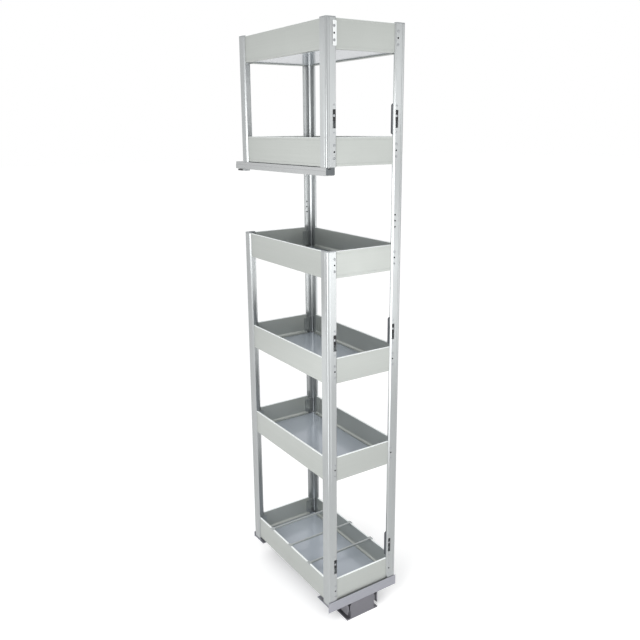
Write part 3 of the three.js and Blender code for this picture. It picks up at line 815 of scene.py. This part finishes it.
def cross_head_screw(name, head, dome):
    """A domed screw head that faces the front, with its seat at the origin."""
    radius = head / 2
    domed = [(out * radius, -up * dome) for out, up in (HEAD_SHOULDER, HEAD_CROWN)]
    screw = turned_piece(name, [(0, 0), (radius, 0), (radius, -SCREW_RIM), *domed, (0, -dome)])
    reach = CROSS_REACH * radius
    half = CROSS_SLOT / 2
    bottom = min(CROSS_DEPTH, CROSS_DEEPEST * dome) - dome
    cut_away(screw, [block("slot", (-reach, -dome - MM, -half), (reach, bottom, half))])
    cut_away(screw, [block("slot", (-half, -dome - MM, -reach), (half, bottom, reach))])
    only(screw)
    bpy.ops.object.shade_smooth_by_angle(angle=math.radians(SMOOTH_UP_TO))
    return screw


def screw_in(pattern, name, place, body):
    """Puts a copy of a screw in its place. It is turned round at the rear of the frame."""
    screw = copied(pattern, name, Vector((0, 0, 0)))
    if place.y > 0:
        bpy.ops.transform.rotate(value=math.pi, orient_axis="Z", center_override=(0, 0, 0))
    bpy.ops.transform.translate(value=place)
    bpy.ops.object.transform_apply(location=True, rotation=True, scale=True)
    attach(screw, body)


screw_steel = bright_steel("bright_screw_steel", SCREW_STEEL, SCREW_STEEL_WORN,
                           SCREW_ROUGHNESS, SCREW_SPECKLE)
tray_screw = cross_head_screw("tray_screw_pattern", TRAY_SCREW_HEAD, TRAY_SCREW_DOME)
tray_screw.data.materials.append(screw_steel)
post_low, post_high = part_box("front_right_post")
front_face = post_low.y
rear_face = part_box("rear_right_post")[1].y
half_width = post_high.x
fixing_x = half_width - FIXING_FROM_CORNER

for number, centre in enumerate(fixing_sets, 1):
    for corner_name, side, face in (("front_left", -1, front_face), ("front_right", 1, front_face),
                                    ("rear_left", -1, rear_face), ("rear_right", 1, rear_face)):
        plated = number == 1 and corner_name == "front_left"
        seat = face - CORNER_PLATE_THICKNESS if plated else face
        for end_name, step in (("lower", -1), ("upper", 1)):
            screw_in(tray_screw, f"tray_{number}_{corner_name}_{end_name}_screw",
                     Vector((side * fixing_x, seat, centre + step * FIXING_PITCH)), "larder")

plate_left = -half_width + CORNER_PLATE_FROM_CORNER
plate_reach = CORNER_PLATE_HEIGHT / 2
plate_low = Vector((plate_left, front_face - CORNER_PLATE_THICKNESS, fixing_sets[0] - plate_reach))
plate_high = Vector((plate_left + CORNER_PLATE_WIDTH, front_face, fixing_sets[0] + plate_reach))
corner_plate = block("corner_plate", plate_low, plate_high)
for x, z in product((plate_low.x, plate_high.x), (plate_low.z, plate_high.z)):
    rounded(corner_plate, CORNER_PLATE_ROUND, CORNER_PLATE_STEPS,
            lambda end: (end.xz - Vector((x, z))).length < AT_THE_EDGE)
free_hole = Vector((-fixing_x, front_face, fixing_sets[0]))
drilled(corner_plate, [free_hole], FIXING_HOLE / 2, Vector((0, 1, 0)), CORNER_PLATE_DRILL)
softened(corner_plate, PLATE_EDGE)
corner_plate.data.materials.append(anodised("pale_plate", "Z", PLATE_LIGHT, PLATE_DARK,
                                            PLATE_ROUGHNESS, PLATE_METALLIC))
# Painted shade: the wall of the plate's free hole is coloured near-black
darkened_holes(corner_plate, hole_wall_shade, [free_hole])
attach(corner_plate, "larder")


# ---- Guide rail -------------------------------------------------------------------------
# An anodised channel that slides on its shoe, fixed under the upper left section. Its side
# has a lower band that stands proud. A moulded grey cap closes the front end, and a black
# nylon shoe with a pale front pad runs in the slot at the rear end.
RAIL_WALL_ALUMINIUM = 2 * MM
RAIL_SLOT = 9 * MM
RAIL_BAND_HEIGHT = 12 * MM
RAIL_BAND_STEP = 0.8 * MM
CAP_THICKNESS = 2.5 * MM
CAP_NOTCH = 9 * MM
CAP_NOTCH_DEPTH = 4 * MM
CAP_NOTCH_INSET = 4.5 * MM
CHANNEL_LIGHT = "#a9abab"
CHANNEL_DARK = "#9fa1a2"
CAP_GREY = "#5c6164"
CAP_GREY_DARK = "#505558"
NYLON_BLACK = "#1e1f21"
NYLON_BLACK_WORN = "#2a2b2d"
NYLON_PALE = "#b9bcbd"
NYLON_PALE_WORN = "#a9acad"
SHOE_FOOT_HEIGHT = 5 * MM
SHOE_PAD_LENGTH = 12 * MM
SHOE_FOOT_HALF = 9.5 * MM
SHOE_STEM_GAP = 0.5 * MM
MOULD_EDGE = 0.5 * MM
MOULD_GAP = 0.3 * MM
CHANNEL_ROUGHNESS = 0.38
CHANNEL_METALLIC = 0.7
NYLON_ROUGHNESS = 0.45

low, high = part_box("guide_rail")
rail_width = high.x - low.x
rail_height = high.z - low.z
wall = RAIL_WALL_ALUMINIUM
slot_near = (rail_width - RAIL_SLOT) / 2
slot_far = slot_near + RAIL_SLOT
rail_section = [
    (0, 0), (slot_near, 0), (slot_near, wall), (wall + RAIL_BAND_STEP, wall),
    (wall + RAIL_BAND_STEP, rail_height - wall), (rail_width - wall, rail_height - wall),
    (rail_width - wall, wall), (slot_far, wall), (slot_far, 0), (rail_width, 0),
    (rail_width, rail_height), (RAIL_BAND_STEP, rail_height),
    (RAIL_BAND_STEP, RAIL_BAND_HEIGHT + RAIL_BAND_STEP), (0, RAIL_BAND_HEIGHT),
]
guide_rail = drawn_bar("guide_channel",
                       [Vector((low.x + u, low.y, low.z + v)) for u, v in rail_section],
                       Vector((0, high.y - low.y, 0)))
softened(guide_rail, ALUMINIUM_EDGE)
guide_rail.data.materials.append(anodised("anodised_guide_rail", "Y", CHANNEL_LIGHT, CHANNEL_DARK,
                                          CHANNEL_ROUGHNESS, CHANNEL_METALLIC))
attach(guide_rail, "larder")
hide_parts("guide_rail")

low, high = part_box("guide_rail_cap")
cap_plate = block("guide_cap_plate", (low.x, low.y, low.z), (high.x, low.y + CAP_THICKNESS, high.z))
notch_left = low.x + CAP_NOTCH_INSET
cut_away(cap_plate, [block("notch", (notch_left, low.y - MM, high.z - CAP_NOTCH_DEPTH),
                           (notch_left + CAP_NOTCH, low.y + CAP_THICKNESS + MM, high.z + MM))])
softened(cap_plate, MOULD_EDGE)
cap_plug = block("guide_cap_plug",
                 (low.x + wall + RAIL_BAND_STEP + MOULD_GAP, low.y + CAP_THICKNESS / 2, low.z),
                 (high.x - wall - MOULD_GAP, high.y, high.z - wall - MOULD_GAP - CAP_NOTCH_DEPTH))
softened(cap_plug, MOULD_EDGE)
cap_grey = moulded("moulded_grey", CAP_GREY, CAP_GREY_DARK, MOULDED_ROUGHNESS)
for piece in (cap_plate, cap_plug):
    piece.data.materials.append(cap_grey)
    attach(piece, "larder")
    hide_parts("guide_rail_cap")

low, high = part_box("guide_shoe")
foot_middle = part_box("guide_rail")[0].x + rail_width / 2
stem_half = RAIL_SLOT / 2 - SHOE_STEM_GAP
foot_top = low.z + SHOE_FOOT_HEIGHT
body_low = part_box("guide_rail")[0].z + wall + MOULD_GAP
pad_end = low.y + SHOE_PAD_LENGTH
shoe_body = block("shoe_slider", (low.x, low.y, body_low), (high.x, high.y, high.z))
shoe_stem = block("shoe_stem", (foot_middle - stem_half, low.y, foot_top - MM),
                  (foot_middle + stem_half, high.y, body_low + MM))
shoe_foot = block("shoe_foot", (foot_middle - SHOE_FOOT_HALF, pad_end + MOULD_GAP, low.z),
                  (foot_middle + SHOE_FOOT_HALF, high.y, foot_top))
shoe_pad = block("shoe_pad", (foot_middle - SHOE_FOOT_HALF, low.y, low.z),
                 (foot_middle + SHOE_FOOT_HALF, pad_end, foot_top))
nylon_black = moulded("moulded_black", NYLON_BLACK, NYLON_BLACK_WORN, NYLON_ROUGHNESS)
nylon_pale = moulded("moulded_pale_nylon", NYLON_PALE, NYLON_PALE_WORN, MOULDED_ROUGHNESS)
for piece, nylon in ((shoe_body, nylon_black), (shoe_stem, nylon_black), (shoe_foot, nylon_black),
                     (shoe_pad, nylon_pale)):
    softened(piece, MOULD_EDGE)
    piece.data.materials.append(nylon)
    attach(piece, "guide_shoe")
    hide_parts("guide_shoe")


# ---- Door brackets and adjusters --------------------------------------------------------
# Die-cast brackets in dark zinc are screwed behind the front posts, one pair at each slot.
# In each bracket's pocket a toothed black adjuster moves up and down, with a bright clamping
# screw through its middle for the door. The pocket's faces are coloured near-white, as painted
# light that lets the shaded recess read grey.
BRACKET_CUT = 4 * MM
POCKET_DEPTH = 6 * MM
BRACKET_SCREW_HEAD = 5 * MM
BRACKET_SCREW_DOME = 0.7 * MM
BRACKET_SCREW_FROM_MIDDLE = 34 * MM
CAST_EDGE = 0.8 * MM
CAST_ZINC = "#56595d"
CAST_ZINC_DARK = "#484b4f"
# Painted light: the near-white colours for the faces inside the bracket pockets
POCKET_LIGHT_PAINT = "#e6e8e9"
POCKET_LIGHT_PAINT_DULL = "#d4d7d8"
ADJUSTER_BACK_GAP = 1 * MM
ADJUSTER_SCREW_HEAD = 6.4 * MM
ADJUSTER_SCREW_DOME = 0.6 * MM
TOOTH_PITCH = 3.2 * MM
TOOTH_DEPTH = 1.1 * MM
TOOTH_EDGE = 0.2 * MM
POCKET_MARGIN = 1.02  # times the pocket's half width, within which a face belongs to the pocket
CAST_ROUGHNESS = 0.42
POCKET_LIGHT_ROUGHNESS = 0.4
POCKET_LIGHT_METALLIC = 0.3
POCKET_LIGHT_SPECKLE = 5 * MM

cast_zinc = moulded("dark_cast_zinc", CAST_ZINC, CAST_ZINC_DARK, CAST_ROUGHNESS)
# Painted light: a pale finish for the pocket faces, so the shaded recess reads grey
pocket_painted_light = bright_steel("painted_light_pocket", POCKET_LIGHT_PAINT, POCKET_LIGHT_PAINT_DULL,
                             POCKET_LIGHT_ROUGHNESS, POCKET_LIGHT_SPECKLE, POCKET_LIGHT_METALLIC)
bracket_screw = cross_head_screw("bracket_screw_pattern", BRACKET_SCREW_HEAD, BRACKET_SCREW_DOME)
bracket_screw.data.materials.append(screw_steel)
adjuster_screw = cross_head_screw("adjuster_screw_pattern", ADJUSTER_SCREW_HEAD, ADJUSTER_SCREW_DOME)
adjuster_screw.data.materials.append(screw_steel)

for level in ("top", "middle", "bottom"):
    for side_name, side in (("left", -1), ("right", 1)):
        node = f"door_bracket_{level}_{side_name}"
        low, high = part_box(node)
        middle = (low.z + high.z) / 2
        cut = BRACKET_CUT
        outline = [
            (low.x + cut, low.z), (high.x - cut, low.z), (high.x, low.z + cut),
            (high.x, high.z - cut), (high.x - cut, high.z), (low.x + cut, high.z),
            (low.x, high.z - cut), (low.x, low.z + cut),
        ]
        bracket = drawn_bar(f"cast_bracket_{level}_{side_name}",
                            [Vector((x, low.y, z)) for x, z in outline],
                            Vector((0, high.y - low.y, 0)))
        slot_x = side * fixing_x
        pocket_half = SLOT_WIDTH / 2
        pocket_low = Vector((slot_x - pocket_half, low.y - MM, middle - SLOT_HEIGHT / 2))
        pocket_high = Vector((slot_x + pocket_half, low.y + POCKET_DEPTH, middle + SLOT_HEIGHT / 2))
        cut_away(bracket, [block("pocket", pocket_low, pocket_high)])
        softened(bracket, CAST_EDGE)
        bracket.data.materials.append(cast_zinc)
        bracket.data.materials.append(pocket_painted_light)
        # Painted light: the faces inside the pocket get the pale finish
        for polygon in bracket.data.polygons:
            from_slot = polygon.center - Vector((slot_x, low.y, middle))
            in_width = abs(from_slot.x) < POCKET_MARGIN * pocket_half
            in_height = abs(from_slot.z) < SLOT_HEIGHT / 2 + CAST_EDGE
            if in_width and in_height and CAST_EDGE < from_slot.y < POCKET_DEPTH + CAST_EDGE:
                polygon.material_index = 1
        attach(bracket, "larder")
        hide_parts(node)
        for end_name, step in (("lower", -1), ("upper", 1)):
            screw_in(bracket_screw, f"bracket_{level}_{side_name}_{end_name}_screw",
                     Vector((slot_x, front_face, middle + step * BRACKET_SCREW_FROM_MIDDLE)), "larder")

        node = f"door_adjuster_{level}_{side_name}"
        low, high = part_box(node)
        face = front_face + ADJUSTER_BACK_GAP
        adjuster = block(f"toothed_adjuster_{level}_{side_name}", (low.x, face, low.z), high)
        teeth = int((high.z - low.z) / TOOTH_PITCH)
        first = (low.z + high.z - (teeth - 1) * TOOTH_PITCH) / 2
        groove_middles = [first + step * TOOTH_PITCH for step in range(teeth)]
        cut_away(adjuster, [block("groove", (low.x - MM, face - MM, z - TOOTH_PITCH / 4),
                                  (high.x + MM, face + TOOTH_DEPTH, z + TOOTH_PITCH / 4))
                            for z in groove_middles])
        softened(adjuster, TOOTH_EDGE)
        adjuster.data.materials.append(nylon_black)
        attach(adjuster, node)
        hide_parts(node)
        screw_in(adjuster_screw, f"clamping_screw_{level}_{side_name}",
                 Vector((slot_x, face, (low.z + high.z) / 2)), node)

for pattern in (tray_screw, bracket_screw, adjuster_screw):
    bpy.data.objects.remove(pattern)


# ---- Cross dividers ---------------------------------------------------------------------
# Three bright bars lie across the lowest tray. Each has a folded saddle at both ends, which
# hangs over the top of the tray's side and slides along it. They are nickel-plated steel.
SADDLE_THICKNESS = 1.5 * MM
SADDLE_HALF = 7 * MM
SADDLE_OUTER_DROP = 3 * MM
SADDLE_GAP = 0.3 * MM
BAR_HEIGHT = 6 * MM
BAR_THICKNESS = 5 * MM
BAR_EDGE = 0.8 * MM
BAR_EDGE_STEPS = 4
NICKEL = "#adb1b1"
NICKEL_DULL = "#a0a5a5"
NICKEL_ROUGHNESS = 0.34
NICKEL_METALLIC = 0.5
NICKEL_PATCH = 25 * MM

nickel = bright_steel("satin_nickel_plate", NICKEL, NICKEL_DULL,
                      NICKEL_ROUGHNESS, NICKEL_PATCH, NICKEL_METALLIC)
outer_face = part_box("tray_6_right_panel")[1].x
inner_face = outer_face - PANEL_WALL

for node in ("divider_front", "divider_middle", "divider_rear"):
    low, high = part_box(node)
    middle = (low.y + high.y) / 2
    tray_top = high.z - SADDLE_THICKNESS - SADDLE_GAP
    bar_end = inner_face - SADDLE_GAP - SADDLE_THICKNESS / 2
    pieces = [block(f"{node}_bar", (-bar_end, middle - BAR_THICKNESS / 2, high.z - BAR_HEIGHT),
                    (bar_end, middle + BAR_THICKNESS / 2, high.z))]
    softened(pieces[0], BAR_EDGE, BAR_EDGE_STEPS)
    for side_name, side in (("left", -1), ("right", 1)):
        inside = inner_face - SADDLE_GAP
        outside = outer_face + SADDLE_GAP
        outer_end = tray_top - SADDLE_OUTER_DROP
        folded = [
            (inside, low.z), (inside, tray_top + SADDLE_GAP), (outside, tray_top + SADDLE_GAP),
            (outside, outer_end), (outside + SADDLE_THICKNESS, outer_end),
            (outside + SADDLE_THICKNESS, high.z), (inside - SADDLE_THICKNESS, high.z),
            (inside - SADDLE_THICKNESS, low.z),
        ]
        saddle = drawn_bar(f"{node}_{side_name}_saddle",
                           [Vector((side * x, middle - SADDLE_HALF, z)) for x, z in folded],
                           Vector((0, 2 * SADDLE_HALF, 0)))
        softened(saddle, STEEL_EDGE)
        pieces.append(saddle)
    for piece in pieces:
        piece.data.materials.append(nickel)
        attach(piece, node)
        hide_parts(node)


# ---- Studio -----------------------------------------------------------------------------
# A pale floor in a white surround. The metal mirrors the same white that the camera sees, while
# the soft light on the object is stronger from the front and from above. Lamps stand round the
# front and both sides, to model the upright faces of the posts.
FLOOR_REACH = 60
PURE_WHITE = "#ffffff"
FLOOR_WHITE = "#f4f4f4"
FLOOR_BOUNCING = "#c8c8c8"
FLOOR_LIFT = 0.2
SURROUND_MEAN = 0.72
SURROUND_FRONT = 0.35
SURROUND_ABOVE = 0.31


def background_rays(tree):
    """Is 1 for the rays that show the background: from the camera, in a mirror, through glass."""
    path = add_node(tree, "LightPath")
    shown = path.outputs["Is Camera Ray"]
    for kind in ("Is Glossy Ray", "Is Transmission Ray"):
        either = add_node(tree, "Math", links={0: shown, 1: path.outputs[kind]}, operation="MAXIMUM")
        shown = either.outputs[0]
    return shown


bpy.ops.object.select_all(action="DESELECT")
bpy.ops.mesh.primitive_plane_add(size=FLOOR_REACH)
studio_floor = bpy.context.object
studio_floor.name = "studio_floor"
finish, tree, place = new_finish("pale_floor")
bouncing = add_node(tree, "BsdfDiffuse", {"Color": linear(FLOOR_BOUNCING)})
shade = add_node(tree, "BsdfDiffuse", {"Color": linear(FLOOR_WHITE)})
glow = add_node(tree, "Emission", {"Color": linear(PURE_WHITE), "Strength": FLOOR_LIFT})
lifted = add_node(tree, "AddShader", links={0: shade.outputs[0], 1: glow.outputs[0]})
floor_mix = add_node(tree, "MixShader", links={0: background_rays(tree), 1: bouncing.outputs[0],
                                               2: lifted.outputs[0]})
close_finish(tree, floor_mix)
studio_floor.data.materials.append(finish)

world = bpy.data.worlds.new("studio")
world.use_nodes = True
bpy.context.scene.world = world
air_tree = world.node_tree
air_tree.nodes.clear()
toward = add_node(air_tree, "TexCoord")
axes = add_node(air_tree, "SeparateXYZ", links={0: toward.outputs["Generated"]})
back_to_front = add_node(air_tree, "Math", {1: -SURROUND_FRONT, 2: SURROUND_MEAN},
                         {0: axes.outputs["Y"]}, operation="MULTIPLY_ADD")
low_to_high = add_node(air_tree, "Math", {1: SURROUND_ABOVE},
                       {0: axes.outputs["Z"], 2: back_to_front.outputs[0]}, operation="MULTIPLY_ADD")
strength = add_node(air_tree, "Mix", {"B": 1.0},
                    {"Factor": background_rays(air_tree), "A": low_to_high.outputs[0]})
air = add_node(air_tree, "Background", {"Color": linear(PURE_WHITE)},
               {"Strength": strength.outputs["Result"]})
add_node(air_tree, "OutputWorld", links={"Surface": air.outputs[0]})

# Each lamp has its place, the point that it faces, its width and height, and its power in watts
for name, place, target, width, height, power in (
        ("softbox_front_left", (-1.3, -0.8, 1.2), (-0.12, -0.1, 0.9), 0.8, 0.8, 8.3),
        ("strip_front_left", (-0.5, -0.6, 0.75), (-0.12, -0.1, 0.75), 0.3, 1.0, 2.9),
        ("softbox_left", (-0.85, 0.75, 1.4), (-0.12, -0.1, 1.3), 0.5, 0.9, 1.1),
        ("softbox_low_left", (-0.7, 0.55, 0.45), (-0.12, -0.2, 0.6), 0.4, 0.5, 0.5),
        ("softbox_near_right", (0.9, -1.6, 0.6), (0, -0.23, 0.9), 0.6, 0.6, 0.9),
        ("softbox_low_right", (2.3, -3.9, 0.45), (-0.1, -0.25, 1.0), 1.0, 0.9, 9.2),
        ("softbox_high_right", (1.25, -1.9, 1.65), (0, -0.2, 1.5), 0.9, 0.5, 2.0)):
    lamp = bpy.data.lights.new(name, "AREA")
    lamp.shape = "RECTANGLE"
    lamp.size = width
    lamp.size_y = height
    lamp.energy = power
    holder = bpy.data.objects.new(name, lamp)
    holder.visible_camera = False
    bpy.context.scene.collection.objects.link(holder)
    holder.location = place
    holder.rotation_euler = (Vector(target) - Vector(place)).to_track_quat("-Z", "Y").to_euler()

bpy.context.scene.view_settings.view_transform = "Standard"
